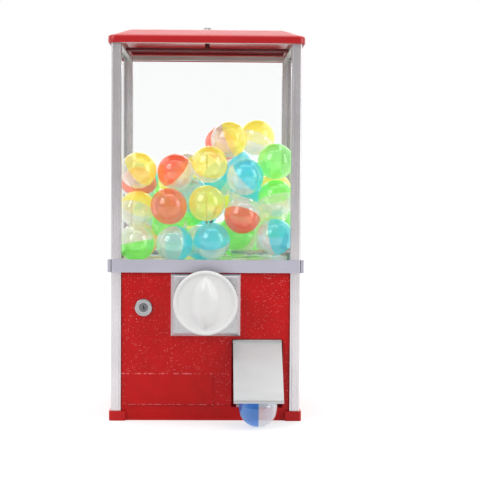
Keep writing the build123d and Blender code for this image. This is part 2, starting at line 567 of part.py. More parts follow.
EAR_AT, EAR_T, EAR_FRONT = 30.6, 1.2, 118.4
FRAME_T, FRAME_EDGE = 1.5, 5.0
with BuildPart() as flap_frame:
    with BuildSketch(side_plane("front", SHEET_IN - FRAME_T)):
        with Locations((FLAP_X, (MOUTH_LOW + MOUTH_HIGH) / 2)):
            Rectangle(MOUTH_W + 2 * FRAME_EDGE, MOUTH_HIGH - MOUTH_LOW + 2 * FRAME_EDGE)
        chute_low = LIP_Z - CHUTE_T * 1.1
        chute_high = MOUTH_HIGH - 0.6 + CHUTE_T * 1.1 + 0.8
        with Locations((FLAP_X, (chute_low + chute_high) / 2)):
            Rectangle(CHUTE_W + 2 * CHUTE_T, chute_high - chute_low, mode=Mode.SUBTRACT)
    extrude(amount=FRAME_T)
    for ear in (-EAR_AT, EAR_AT):
        with BuildSketch(Plane.YZ.offset(FLAP_X + ear - EAR_T / 2)):
            with Locations((-(EAR_FRONT + SHEET_IN - FRAME_T) / 2, HINGE_Z - 0.6)):
                RectangleRounded(EAR_FRONT - SHEET_IN + FRAME_T, 5.0, 1.2)
            with Locations((HINGE_Y, HINGE_Z)):
                Circle(HINGE_R, mode=Mode.SUBTRACT)
        extrude(amount=EAR_T)
finish(flap_frame, "flap_frame")

with BuildPart() as hinge_pin:
    with BuildSketch(Plane.YZ.offset(FLAP_X - EAR_AT - EAR_T / 2)):
        with Locations((HINGE_Y, HINGE_Z)):
            Circle(HINGE_R)
    extrude(amount=2 * EAR_AT + EAR_T)
finish(hinge_pin, "hinge_pin")

KNUCKLE_R, LIP_R, SIDE_DEEP, SIDE_END = 2.7, 1.6, 2.6, 75.0
FLAP_OUT = (0, -cos(radians(FLAP_TILT)), sin(radians(FLAP_TILT)))
FLAP_PLANE = Plane(origin=(FLAP_X + FLAP_W / 2, HINGE_Y, HINGE_Z), x_dir=FLAP_OUT, z_dir=(-1, 0, 0))
with BuildPart() as flap:
    with BuildSketch(FLAP_PLANE):
        with Locations((0, -FLAP_LONG / 2)):
            Rectangle(FLAP_T, FLAP_LONG)
        Circle(KNUCKLE_R)
        with Locations((LIP_R - FLAP_T / 2, LIP_R - FLAP_LONG)):
            Circle(LIP_R)
        Circle(HINGE_R + RUN, mode=Mode.SUBTRACT)
    extrude(amount=FLAP_W)
    for start in (0, FLAP_W - FLAP_T):
        with BuildSketch(FLAP_PLANE.offset(start)):
            with Locations((-SIDE_DEEP / 2, -(SIDE_END + KNUCKLE_R + 1) / 2)):
                Rectangle(SIDE_DEEP, SIDE_END - KNUCKLE_R - 1)
        extrude(amount=FLAP_T)
finish(flap, "flap")

# Cam lock in the front panel
RING_R, RING_OUT, PLUG_R, BARREL_BACK = 10.8, 3.0, 5.6, 20.0


def lock_plane(out):
    """The plane that faces the customer, centred on the lock's axis."""
    return Plane(origin=(LOCK_X, -out, LOCK_Z), x_dir=(1, 0, 0), z_dir=(0, -1, 0))


with BuildPart() as lock_body:
    with BuildSketch(lock_plane(SHEET_OUT - BARREL_BACK)):
        Circle(LOCK_HOLE_R)
    extrude(amount=BARREL_BACK)
    with BuildSketch(lock_plane(SHEET_OUT)):
        Circle(RING_R)
    extrude(amount=RING_OUT)
    fillet(lock_body.faces().sort_by(Axis.Y)[0].edges(), 1.2)
    with BuildSketch(lock_plane(SHEET_OUT + RING_OUT - 1.4)):
        Circle(RING_R - 2.4)
    extrude(amount=1.4, mode=Mode.SUBTRACT)
    with BuildSketch(lock_plane(SHEET_OUT - BARREL_BACK)):
        Circle(PLUG_R + RUN)
    extrude(amount=BARREL_BACK + RING_OUT, mode=Mode.SUBTRACT)
finish(lock_body, "lock_body")

with BuildPart() as lock_nut:
    with BuildSketch(lock_plane(SHEET_IN - 4.0)):
        RegularPolygon(14.0, 6)
        Circle(LOCK_HOLE_R, mode=Mode.SUBTRACT)
    extrude(amount=4.0)
finish(lock_nut, "lock_nut")

CAM_AT = SHEET_OUT - BARREL_BACK - 0.6
with BuildPart() as lock_plug:
    with BuildSketch(lock_plane(CAM_AT - 4.5)):
        Circle(PLUG_R)
    extrude(amount=SHEET_OUT + RING_OUT - 1.0 - CAM_AT + 4.5)
    with BuildSketch(lock_plane(SHEET_OUT + RING_OUT - 1.0)):
        with Locations((0, 0.9), (0.7, -0.9)):
            Rectangle(1.3, 3.6)
    extrude(amount=-9.0, mode=Mode.SUBTRACT)
finish(lock_plug, "lock_plug")

with BuildPart() as lock_cam:
    with BuildSketch(lock_plane(CAM_AT - 2.0)):
        with Locations((-9.0, 0)):
            SlotOverall(31.0, 13.0)
        Circle(PLUG_R, mode=Mode.SUBTRACT)
    extrude(amount=2.0)
finish(lock_cam, "lock_cam")

# Capsules: a coloured cup and a clear cap each
LIP_H, LIP_OUT = 0.7, 0.4
INNER_R = CAPSULE_R - CAPSULE_T
DOME_Z = CAPSULE_HALF - CAPSULE_R
with BuildPart() as cap_shell:
    with BuildSketch(Plane.XZ):
        with BuildLine():
            Polyline((INNER_R, DOME_Z), (INNER_R, 0), (CAPSULE_R, 0), (CAPSULE_R, DOME_Z))
            CenterArc((0, DOME_Z), CAPSULE_R, 0, 90)
            Line((0, DOME_Z + CAPSULE_R), (0, DOME_Z + INNER_R))
            CenterArc((0, DOME_Z), INNER_R, 0, 90)
        make_face()
    revolve(axis=Axis.Z)

with BuildPart() as cup_shell:
    add(cap_shell.part.mirror(Plane.XY))
    with Locations((0, 0, -LIP_H)):
        Cylinder(CAPSULE_R + LIP_OUT, LIP_H, align=BASE)
        Cylinder(INNER_R, LIP_H, align=BASE, mode=Mode.SUBTRACT)

CAPSULE_BOUND = CAPSULE_HALF + 0.1
FLOOR_Z = WHEEL_HIGH + 0.5 + CAPSULE_BOUND
GUARD_TOP = GUARD_LOW + GUARD_T + 0.2
WALL_REACH = POST_IN - 0.1 - CAPSULE_BOUND * cos(radians(45))
FINGER_KEEP, ROD_KEEP = AGITATOR_R + 0.5 + CAPSULE_BOUND, ROD_R + 1.0 + CAPSULE_BOUND
FINGER_REACH = FINGER_HIGH[2] + CAPSULE_BOUND + 5.7
ROUNDS, SINK_ROUNDS, SINK, PULL_BACK, SHARE_HELD = 700, 525, 0.3, 0.3, 0.33

# Capsules in view at the front: place, colour, and where the coloured cup points
FRONT_LOAD = [
    ((-84, -84, 218), "green", (0.2, -0.1, -1)), ((-78, -62, 255), "yellow", (0.3, 0.5, 1)),
    ((-74, -74, 306), "yellow", (0.9, -0.5, 0.7)), ((-48, -84, 257), "orange", (0.2, -1, 0.2)),
    ((-30, -72, 299), "orange", (-0.8, -0.4, 0.7)), ((-36, -44, 246), "green", (-0.4, -0.6, 0.8)),
    ((-44, -84, 217), "blue", (0.8, 0.5, -0.1)), ((-4, -84, 222), "blue", (-0.1, -0.5, 1)),
    ((4, -84, 305), "yellow", (0.2, -0.7, 0.6)), ((5, -82, 264), "yellow", (-0.3, -0.9, 0.3)),
    ((29, -62, 345), "yellow", (1, -0.2, 0.4)), ((62, -34, 350), "yellow", (0.4, 0.3, 1)),
    ((49, -84, 302), "blue", (0.8, -0.3, 0.7)), ((84, -74, 313), "green", (-0.1, -1, 0.2)),
    ((84, -84, 273), "green", (-0.2, 0.3, 1)), ((46, -84, 249), "orange", (-0.3, -0.5, -1)),
    ((84, -84, 230), "blue", (1, -0.4, 0.2)), ((30, -62, 222), "green", (-0.2, -0.8, 0.3)),
    ((-32, -40, 262), "blue", (0.2, 1, 0.1)), ((52, -46, 272), "blue", (0.4, -0.1, 1)),
]
# Capsules further back, in loose layers
COLOURS = ("yellow", "blue", "orange", "green", "blue", "yellow", "green")
BACK_LOAD = [((x + 11 * (layer % 2), y - 9 * (layer % 2), 218 + 39 * layer), COLOURS[(3 * i + 2 * j + layer) % 7],
              (sin(2.4 * i + j), cos(1.7 * j + layer), sin(3.1 * i + 1.3 * layer)))
             for layer in range(4) for i, x in enumerate((-78, -28, 26, 76)) for j, y in enumerate((-16, 34, 82))
             if layer < 3 or (x > 0 and y < 0)]


def rest_height(x, y):
    """The lowest centre of a capsule over the wheel and the guard's round end and arm."""
    round_end = dist((x, y), (DROP_X, DROP_Y)) - GUARD_R
    arm = abs(y - DROP_Y) - ARM_W / 2 if x > DROP_X else round_end
    over = max(0.0, min(round_end, arm))
    rise = max(0.0, CAPSULE_BOUND ** 2 - over ** 2) ** 0.5
    return max(FLOOR_Z, GUARD_TOP + rise if rise else FLOOR_Z)


def part_pair(spot, other, share, other_share):
    """Move two capsules apart along the line between them, in shares, until they only touch."""
    gap = dist(spot, other)
    if gap >= CAPSULE_TOUCH:
        return
    push = (CAPSULE_TOUCH - gap) / gap / (share + other_share)
    for i in range(3):
        shift = (spot[i] - other[i]) * push
        spot[i] += shift * share
        other[i] -= shift * other_share


def keep_inside(spot):
    """Hold one capsule off the agitator, inside the panes, and on the wheel or the guard."""
    away = dist(spot[:2], (0, 0))
    keep = FINGER_KEEP if spot[2] < FINGER_REACH else ROD_KEEP
    if away < keep:
        spot[0] *= keep / away
        spot[1] *= keep / away
    for i in range(2):
        spot[i] = max(-WALL_REACH, min(WALL_REACH, spot[i]))
    spot[2] = max(rest_height(spot[0], spot[1]), spot[2])


def settle(places, held):
    """Let the free capsules sink among the first few, which pull back to their own places ever more weakly."""
    spots = [list(place) for place in places]
    for step in range(ROUNDS):
        moving = step < SINK_ROUNDS
        for a, spot in enumerate(spots):
            if a >= held and moving:
                spot[2] -= SINK
            elif moving:
                pull = PULL_BACK * (1 - step / ROUNDS)
                spot[:] = [now + pull * (wanted - now) for now, wanted in zip(spot, places[a])]
            for b in range(a):
                part_pair(spot, spots[b], SHARE_HELD if a < held else 1.0, SHARE_HELD if b < held else 1.0)
            keep_inside(spot)
    return spots


LOAD = FRONT_LOAD + BACK_LOAD
SPOTS = settle([place for place, _, _ in LOAD], len(FRONT_LOAD))
PLACES = [Plane(origin=tuple(spot), z_dir=tuple(-c for c in cup)).location for spot, (_, _, cup) in zip(SPOTS, LOAD)]
for colour in ("yellow", "orange", "green", "blue"):
    with BuildPart() as cups:
        with Locations(*[place for place, (_, own, _) in zip(PLACES, LOAD) if own == colour]):
            add(cup_shell.part)
    finish(cups, f"capsule_cups_{colour}")
with BuildPart() as capsule_caps:
    with Locations(*PLACES):
        add(cap_shell.part)
finish(capsule_caps, "capsule_caps")

# The capsule just served, on the counter under the flap
SERVED_Z = CAPSULE_R + LIP_OUT
TILT = radians(FLAP_TILT)
SERVED_Y = HINGE_Y + (SERVED_Z + FLAP_T / 2 + FLAP_GAP - (HINGE_Z - SERVED_Z) * sin(TILT)) / cos(TILT)
SERVED_PLACE = Plane(origin=(FLAP_X, SERVED_Y, SERVED_Z), z_dir=(1, 0, 0)).location
for name, shell in (("served_cup", cup_shell), ("served_cap", cap_shell)):
    with BuildPart() as served:
        with Locations(SERVED_PLACE):
            add(shell.part)
    finish(served, name)
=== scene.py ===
import math

import bmesh
import bpy
import numpy as np
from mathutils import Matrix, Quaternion, Vector


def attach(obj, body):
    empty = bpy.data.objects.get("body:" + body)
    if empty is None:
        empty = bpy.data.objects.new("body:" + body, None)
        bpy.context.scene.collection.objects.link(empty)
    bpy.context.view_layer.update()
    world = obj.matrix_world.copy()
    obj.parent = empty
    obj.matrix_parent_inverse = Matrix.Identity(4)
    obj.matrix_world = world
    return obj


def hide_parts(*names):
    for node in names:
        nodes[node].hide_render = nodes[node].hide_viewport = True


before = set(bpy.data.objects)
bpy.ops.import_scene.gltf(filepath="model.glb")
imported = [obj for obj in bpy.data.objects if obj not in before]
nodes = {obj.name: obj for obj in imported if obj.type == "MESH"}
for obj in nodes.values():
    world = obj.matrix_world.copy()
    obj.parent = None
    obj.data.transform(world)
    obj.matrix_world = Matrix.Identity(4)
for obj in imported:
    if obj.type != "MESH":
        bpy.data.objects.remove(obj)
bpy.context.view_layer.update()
scene = bpy.context.scene
mm = 0.001
print("frame loaded:", len(nodes), "nodes")


def shade(red, green, blue):
    # screen colour 0..255 turned to linear light: ((c + 0.055) / 1.055) ** 2.4 above 0.04, c / 12.92 below
    c = np.array([red, green, blue]) / 255
    linear = np.where(c <= 0.04045, c / 12.92, ((c + 0.055) / 1.055) ** 2.4)
    return tuple(float(v) for v in linear) + (1.0,)


def newMaterial(name):
    material = bpy.data.materials.new(name)
    material.use_nodes = True
    material.node_tree.nodes.clear()
    return material, material.node_tree


def add(tree, kind, inputs=None, **settings):
    # one shader node, with sockets linked and constants set by input name or number
    made = tree.nodes.new("ShaderNode" + kind)
    for key, value in settings.items():
        setattr(made, key, value)
    for key, value in (inputs or {}).items():
        if isinstance(value, bpy.types.NodeSocket):
            tree.links.new(value, made.inputs[key])
        else:
            made.inputs[key].default_value = value
    return made


def pattern(tree, scale, stretch=(1, 1, 1), detail=3.0):
    # noise on Object coordinates, with its features 1 / scale metres across
    where = add(tree, "TexCoord")
    placed = add(tree, "Mapping", {"Vector": where.outputs["Object"], "Scale": stretch})
    noise = add(tree, "TexNoise", {"Vector": placed.outputs[0], "Scale": scale, "Detail": detail,
                                   "Roughness": 0.55})
    return noise.outputs["Fac"]


def between(tree, value, low, high, fromLow=0.3, fromHigh=0.7):
    # a value spread from one range to another, clamped
    made = add(tree, "MapRange", {"Value": value, "From Min": fromLow, "From Max": fromHigh,
                                  "To Min": low, "To Max": high})
    return made.outputs["Result"]


def blendColour(tree, amount, first, second):
    # the colour mix node, whose colour sockets are 6 and 7 in and 2 out
    made = add(tree, "Mix", {"Factor": amount, 6: first, 7: second}, data_type="RGBA")
    return made.outputs[2]


def maths(tree, operation, first, second=None):
    inputs = {0: first} if second is None else {0: first, 1: second}
    return add(tree, "Math", inputs, operation=operation).outputs[0]


def relief(tree, height, depth):
    # bump whose height of 1 stands depth metres proud
    return add(tree, "Bump", {"Height": height, "Distance": depth, "Strength": 1.0}).outputs["Normal"]


def finishWith(tree, shader):
    add(tree, "OutputMaterial", {"Surface": shader})


def glazed(tree, inside, normal, look):
    # a glossy face over the inside, whose share grows from the middle of a round shape to its edge
    gloss = add(tree, "BsdfGlossy", {"Color": (1, 1, 1, 1), "Roughness": look["rough"], "Normal": normal})
    facing = add(tree, "LayerWeight", {"Blend": 0.3})
    shine = between(tree, facing.outputs["Facing"], *look["shine"], 0.0, 1.0)
    return add(tree, "MixShader", {0: shine, 1: inside, 2: gloss.outputs[0]}).outputs[0]


def paint(name, look):
    # enamel: two close tones, slow gloss changes, orange peel, and a clear coat
    material, tree = newMaterial(name)
    clouds = between(tree, pattern(tree, look["toneScale"]), 0, 1)
    tone = blendColour(tree, clouds, look["colour"], look["tone"])
    gloss = between(tree, pattern(tree, look["glossScale"], detail=2), *look["rough"])
    peel = relief(tree, pattern(tree, look["peelScale"], detail=1), look["peelDepth"])
    body = add(tree, "BsdfPrincipled", {"Base Color": tone, "Roughness": gloss, "Normal": peel,
                                        "Specular IOR Level": look["mirror"],
                                        "Coat Weight": look["coat"], "Coat Roughness": look["coatRough"]})
    finishWith(tree, body.outputs[0])
    return material


def hammertone(name, look):
    # wrinkled enamel with tiny bright dots that are painted highlights, glints painted into its colour; where
    # the look has smooth fields, they carry neither
    material, tree = newMaterial(name)
    where = add(tree, "TexCoord").outputs["Object"]
    # painted highlights: some cells become pale pink dots, standing for glints off the wrinkles
    cells = add(tree, "TexVoronoi", {"Vector": where, "Scale": look["glintScale"], "Randomness": 1.0})
    dot = between(tree, cells.outputs["Distance"], 1, 0, 0.10, look["glintSize"])
    pick = add(tree, "SeparateColor", {"Color": cells.outputs["Color"]})
    chosen = between(tree, pick.outputs[0], 0, 1, look["glintShare"], look["glintShare"] + 0.1)
    patchy = between(tree, pattern(tree, look["patchScale"], detail=2), 0.35, 1, 0.4, 0.6)
    paintedGlint = maths(tree, "MULTIPLY", maths(tree, "MULTIPLY", dot, chosen), patchy)
    wrinkle = pattern(tree, look["wrinkleScale"], detail=2)
    if "smoothTop" in look:
        split = add(tree, "SeparateXYZ", {"Vector": where})
        sheet = smoothMask(tree, split, look)
        # the edge lines are painted highlights, drawn in the glint colour
        paintedGlint = maths(tree, "MAXIMUM", maths(tree, "MULTIPLY", paintedGlint, sheet), paintedEdgeLines(tree, split, look))
        wrinkle = maths(tree, "MULTIPLY", wrinkle, sheet)
    clouds = between(tree, pattern(tree, look["toneScale"]), 0, 1)
    tone = blendColour(tree, clouds, look["colour"], look["tone"])
    # the painted glints go into the base colour
    speckled = blendColour(tree, paintedGlint, tone, look["paintedGlint"])
    gloss = between(tree, pattern(tree, look["glossScale"], detail=2), *look["rough"])
    body = add(tree, "BsdfPrincipled", {"Base Color": speckled, "Roughness": gloss,
                                        "Normal": relief(tree, wrinkle, look["wrinkleDepth"]),
                                        "Specular IOR Level": look["mirror"],
                                        "Coat Weight": look["coat"], "Coat Roughness": look["coatRough"]})
    finishWith(tree, body.outputs[0])
    return material


def smoothMask(tree, split, look):
    # 0 on the label field (between smoothLeft and smoothRight, below smoothTop) and on the skirt, 1 elsewhere
    x, z = split.outputs["X"], split.outputs["Z"]
    left = between(tree, x, 0, 1, look["smoothLeft"], look["smoothLeft"] + mm)
    right = between(tree, x, 1, 0, look["smoothRight"] - mm, look["smoothRight"])
    top = between(tree, z, 1, 0, look["smoothTop"] - mm, look["smoothTop"])
    skirt = between(tree, z, 1, 0, look["skirtTop"] - mm, look["skirtTop"])
    field = maths(tree, "MULTIPLY", maths(tree, "MULTIPLY", left, right), top)
    return maths(tree, "SUBTRACT", 1.0, maths(tree, "MAXIMUM", field, skirt))


def paintedEdgeLines(tree, split, look):
    # thin broken painted highlights along the pressed edges of the label field and the skirt, where light
    # catches those edges
    across = between(tree, split.outputs["X"], 1, 0, *look["highlightEnd"])
    broken = between(tree, pattern(tree, look["highlightScale"], detail=2), 0, 0.75, 0.46, 0.56)
    lines = []
    for height in (look["smoothTop"], look["skirtTop"]):
        away = maths(tree, "ABSOLUTE", maths(tree, "SUBTRACT", split.outputs["Z"], height))
        lines.append(between(tree, away, 1, 0, *look["highlightWide"]))
    both = maths(tree, "MAXIMUM", *lines)
    return maths(tree, "MULTIPLY", maths(tree, "MULTIPLY", both, across), broken)


def metal(name, look):
    # bare metal: a cloudy tone, with brush lines along one axis in its gloss and relief
    material, tree = newMaterial(name)
    lines = pattern(tree, look["lineScale"], look["stretch"], detail=2)
    clouds = pattern(tree, cloudScale, detail=2)
    tone = blendColour(tree, between(tree, clouds, 0, 1), look["colour"], look["tone"])
    body = add(tree, "BsdfPrincipled", {"Base Color": tone, "Metallic": look.get("metallic", 1.0),
                                        "Roughness": between(tree, lines, *look["rough"]),
                                        "Normal": relief(tree, lines, look["lineDepth"]),
                                        "Anisotropic": look.get("anisotropy", 0.0)})
    finishWith(tree, body.outputs[0])
    return material


def casting(name, look):
    # sand-cast plate under silver lacquer: pits, bright grains and a slow tone
    material, tree = newMaterial(name)
    where = add(tree, "TexCoord").outputs["Object"]
    grains = add(tree, "TexVoronoi", {"Vector": where, "Scale": look["grainScale"]})
    bright = between(tree, grains.outputs["Distance"], 1, 0, 0.1, 0.5)
    tone = blendColour(tree, bright, look["colour"], look["tone"])
    pits = relief(tree, pattern(tree, look["pitScale"], detail=4), look["pitDepth"])
    gloss = between(tree, pattern(tree, look["glossScale"]), *look["rough"])
    body = add(tree, "BsdfPrincipled", {"Base Color": tone, "Metallic": look["metallic"], "Roughness": gloss,
                                        "Normal": pits})
    finishWith(tree, body.outputs[0])
    return material


def moulded(name, look):
    # moulded plastic: faint flow clouds and a fine skin texture
    material, tree = newMaterial(name)
    flow = pattern(tree, look["flowScale"], detail=2)
    tone = blendColour(tree, between(tree, flow, 0, 1), look["colour"], look["tone"])
    gloss = between(tree, pattern(tree, look["skinScale"] / 3, detail=2), *look["rough"])
    normal = relief(tree, pattern(tree, look["skinScale"], detail=2), look["skinDepth"])
    body = add(tree, "BsdfPrincipled", {"Base Color": tone, "Roughness": gloss, "Normal": normal,
                                        "Coat Weight": look["coat"], "Coat Roughness": 0.08})
    finishWith(tree, body.outputs[0])
    return material


def clearSheet(name, look):
    # clear sheet or shell: light passes straight through, a haze scatters a little, a painted glow (an
    # emission, no lamp) brightens that haze, and its faces are glossy
    material, tree = newMaterial(name)
    through = add(tree, "BsdfTransparent", {"Color": look["tint"]})
    haze = add(tree, "BsdfDiffuse", {"Color": look["haze"]})
    smear = between(tree, pattern(tree, look["smearScale"], detail=3), *look["hazeShare"])
    # painted glow: the haze shines by itself as painted light, so the shells stay bright deep in the stack
    paintedGlow = add(tree, "Emission", {"Color": look["haze"], "Strength": look["paintedGlow"]})
    hazeAndGlow = add(tree, "AddShader", {0: haze.outputs[0], 1: paintedGlow.outputs[0]})
    inside = add(tree, "MixShader", {0: smear, 1: through.outputs[0], 2: hazeAndGlow.outputs[0]})
    normal = relief(tree, pattern(tree, look["waveScale"], detail=1), look["wave"])
    finishWith(tree, glazed(tree, inside.outputs[0], normal, look))
    return material


def cupPlastic(name, look):
    # coloured translucent cup: part of the light scatters on it, part glows through, part passes straight,
    # and a painted glow (an emission, no lamp) lightens it further
    material, tree = newMaterial(name)
    flow = pattern(tree, look["flowScale"], detail=2)
    tone = blendColour(tree, between(tree, flow, 0, 1), look["colour"], look["tone"])
    normal = relief(tree, pattern(tree, look["waveScale"], detail=1), look["wave"])
    gloss = between(tree, pattern(tree, look["glossScale"], detail=2), *look["faceRough"])
    face = add(tree, "BsdfPrincipled", {"Base Color": tone, "Roughness": gloss, "Normal": normal,
                                        "Coat Weight": 1.0, "Coat Roughness": 0.08})
    glow = add(tree, "BsdfTranslucent", {"Color": tone})
    # painted glow: the cup shines in its own colour as painted light, making up for light lost deep in the
    # stack
    paintedGlow = add(tree, "Emission", {"Color": tone, "Strength": look["paintedGlow"]})
    body = add(tree, "MixShader", {0: look["glow"], 1: face.outputs[0], 2: glow.outputs[0]})
    body = add(tree, "AddShader", {0: body.outputs[0], 1: paintedGlow.outputs[0]})
    through = add(tree, "BsdfTransparent", {"Color": look["through"]})
    inside = add(tree, "MixShader", {0: look["clear"], 1: body.outputs[0], 2: through.outputs[0]})
    finishWith(tree, glazed(tree, inside.outputs[0], normal, look))
    return material


# the looks: scales are features per metre, depths and places are metres
cloudScale = 18     # slow clouds on every metal
# the pale pink dot colour, with its scale, size and share, makes painted glints on the enamel
hammerLook = {"colour": shade(216, 10, 12), "tone": shade(202, 8, 10), "paintedGlint": shade(250, 150, 152),
              "glintScale": 520, "glintSize": 0.36, "glintShare": 0.62, "patchScale": 26,
              "wrinkleScale": 520, "wrinkleDepth": 0.00022, "toneScale": 60, "glossScale": 300,
              "rough": (0.34, 0.46), "coat": 0.08, "coatRough": 0.12, "mirror": 0.25}
# the front adds the smooth label field and skirt, with painted highlight lines along their pressed edges
frontLook = dict(hammerLook, smoothLeft=-0.0975, smoothRight=0.0098, smoothTop=0.0576, skirtTop=0.0194,
                 highlightEnd=(0.012, 0.03), highlightWide=(0.4 * mm, 0.8 * mm), highlightScale=260)
lidLook = {"colour": shade(202, 16, 26), "tone": shade(192, 13, 21), "toneScale": 14, "glossScale": 30,
           "rough": (0.34, 0.42), "peelScale": 160, "peelDepth": 0.00003,
           "coat": 0.7, "coatRough": 0.24, "mirror": 0.3}
baseLook = dict(lidLook, colour=shade(214, 14, 16), tone=shade(204, 12, 14), coat=0.15)
# the crossbar under the lid is painted dark red as painted shade, for the shadow it sits in
crossbarShadeLook = dict(lidLook, colour=shade(110, 30, 34), tone=shade(96, 26, 30), coat=0.0, mirror=0.05,
               rough=(0.6, 0.7))
# the mouth frame is painted dark red as painted shade, standing for the shadow in the gap round the flap
mouthShadeLook = dict(crossbarShadeLook, colour=shade(128, 20, 20), tone=shade(112, 18, 18))
postLook = {"metallic": 0.7, "colour": (0.78, 0.75, 0.77, 1), "tone": (0.70, 0.67, 0.69, 1), "lineScale": 900,
            "stretch": (1, 1, 0.012), "rough": (0.2, 0.3), "lineDepth": 0.00002, "anisotropy": 0.3}
bandLook = {"metallic": 0.8, "colour": (0.60, 0.59, 0.68, 1), "tone": (0.55, 0.54, 0.62, 1), "lineScale": 900,
            "stretch": (0.012, 0.012, 1), "rough": (0.38, 0.48), "lineDepth": 0.00002}
railLook = dict(bandLook, colour=(0.55, 0.55, 0.52, 1), tone=(0.45, 0.45, 0.42, 1), rough=(0.3, 0.42))
flapLook = {"colour": (0.58, 0.59, 0.59, 1), "tone": (0.53, 0.54, 0.55, 1), "lineScale": 1100,
            "stretch": (0.015, 1, 1), "rough": (0.42, 0.52), "lineDepth": 0.00001}
steelLook = dict(flapLook, colour=(0.62, 0.62, 0.62, 1), tone=(0.54, 0.54, 0.55, 1), stretch=(1, 1, 1),
                 lineScale=300, rough=(0.3, 0.42))
plugLook = dict(steelLook, colour=(0.22, 0.22, 0.23, 1), tone=(0.17, 0.17, 0.18, 1), rough=(0.2, 0.3))
darkLook = dict(steelLook, colour=(0.12, 0.12, 0.13, 1), tone=(0.08, 0.08, 0.08, 1), rough=(0.4, 0.5))
brassLook = dict(steelLook, colour=(0.80, 0.62, 0.30, 1), tone=(0.70, 0.52, 0.24, 1), rough=(0.22, 0.34))
chromeLook = dict(steelLook, colour=(0.44, 0.44, 0.44, 1), tone=(0.38, 0.38, 0.39, 1), rough=(0.1, 0.18),
                  lineDepth=0.000005)
castLook = {"colour": shade(200, 201, 204), "tone": shade(236, 236, 238), "grainScale": 900, "pitScale": 700,
            "pitDepth": 0.00018, "metallic": 0.8, "glossScale": 200, "rough": (0.28, 0.42)}
whiteLook = {"colour": shade(250, 250, 249), "tone": shade(246, 246, 245), "flowScale": 40, "skinScale": 500,
             "skinDepth": 0.000008, "rough": (0.2, 0.28), "coat": 0.35}
wheelLook = dict(whiteLook, colour=shade(236, 234, 226), tone=shade(228, 226, 218), rough=(0.34, 0.44))
greyLook = dict(whiteLook, colour=shade(196, 197, 198), tone=shade(186, 187, 188), rough=(0.45, 0.58),
                coat=0.0, skinDepth=0.00004)
acrylicLook = {"tint": (0.996, 1.0, 1.0, 1), "haze": (0.9, 0.93, 0.93, 1), "hazeShare": (0.0, 0.008),
               "smearScale": 12, "rough": 0.02, "shine": (0.01, 0.16), "waveScale": 30, "wave": 0.00001,
               "paintedGlow": 0.0}
# the caps' emission strength below is a painted glow on their haze
capLook = {"tint": (0.97, 0.975, 0.97, 1), "haze": (0.95, 0.95, 0.94, 1), "hazeShare": (0.1, 0.2),
           "smearScale": 60, "rough": 0.05, "shine": (0.03, 0.55), "waveScale": 30, "wave": 0.00002,
           "paintedGlow": 0.25}
cupLooks = {
    "yellow": {"colour": shade(255, 243, 110), "tone": shade(255, 246, 130), "through": shade(255, 251, 205)},
    "orange": {"colour": shade(255, 128, 96), "tone": shade(255, 144, 112), "through": shade(255, 205, 188)},
    "green": {"colour": shade(158, 244, 128), "tone": shade(170, 248, 140), "through": shade(216, 253, 203)},
    "blue": {"colour": shade(104, 224, 238), "tone": shade(122, 230, 242), "through": shade(192, 245, 251)},
    "served": {"colour": shade(62, 150, 216), "tone": shade(80, 164, 226), "through": shade(150, 208, 248)},
}
# glow is real translucency; the emission strength in cupShare is a painted glow on the cups
cupShare = {"glow": 0.45, "clear": 0.76, "paintedGlow": 0.38, "rough": 0.12, "shine": (0.05, 0.3),
            "flowScale": 35, "waveScale": 90, "wave": 0.00005, "glossScale": 120, "faceRough": (0.14, 0.22)}

finishes = {
    "hammer": hammertone("hammertoneRed", hammerLook), "front": hammertone("hammertoneRedFront", frontLook),
    "lid": paint("lidEnamel", lidLook), "base": paint("baseEnamel", baseLook),
    "bar": paint("crossbarPaintedShade", crossbarShadeLook), "frame": paint("mouthFramePaintedShade", mouthShadeLook),
    "post": metal("postAluminium", postLook), "band": metal("bandAluminium", bandLook),
    "rail": metal("railAluminium", railLook), "flap": metal("flapSteel", flapLook),
    "steel": metal("zincSteel", steelLook), "plug": metal("lockPlugSteel", plugLook),
    "dark": metal("darkSteel", darkLook), "brass": metal("turnedBrass", brassLook),
    "chrome": metal("chrome", chromeLook),
    "cast": casting("castSilver", castLook), "white": moulded("whitePlastic", whiteLook),
    "wheel": moulded("wheelPlastic", wheelLook), "grey": moulded("greyPlastic", greyLook),
    "acrylic": clearSheet("clearAcrylic", acrylicLook), "cap": clearSheet("clearCap", capLook),
}
for colour, look in cupLooks.items():
    finishes["cup " + colour] = cupPlastic("cup" + colour.capitalize(), dict(look, **cupShare))

nodeFinish = {
    "base_plate": "base", "corner_shoes": "base", "shoe_screws": "steel", "top_rails": "rail",
    "front_panel": "front", "panel_left": "hammer", "panel_right": "hammer", "panel_rear": "hammer",
    # lid_crossbar takes the dark painted-shade paint
    "lid_crossbar": "bar", "deck": "grey", "hopper_ring": "grey", "drop_guard": "steel",
    "wheel_post": "steel", "thrust_washer": "brass", "capsule_wheel": "wheel", "agitator_hub": "wheel",
    "agitator_rod": "steel", "agitator_finger": "dark", "coin_plate": "cast", "plate_screws": "steel",
    "coin_disc": "steel", "mech_cover": "steel", "coin_guide": "steel", "shaft_bush": "brass",
    "knob_shaft": "steel", "shaft_bracket": "steel", "drive_pinion": "brass", "cash_box": "steel",
    # flap_frame takes the dark painted-shade finish
    "chute": "grey", "flap_frame": "frame", "hinge_pin": "steel", "flap": "flap",
    "lock_body": "chrome", "lock_nut": "steel", "lock_plug": "plug", "lock_cam": "steel",
    "lid": "lid", "lid_nut": "chrome", "knob": "white",
}
nodeFinish.update({name: "post" for name in nodes if name.startswith("post_")})
nodeFinish.update({name: "band" for name in nodes if name.startswith("band_")})
nodeFinish.update({name: "acrylic" for name in nodes if name.startswith("pane_")})
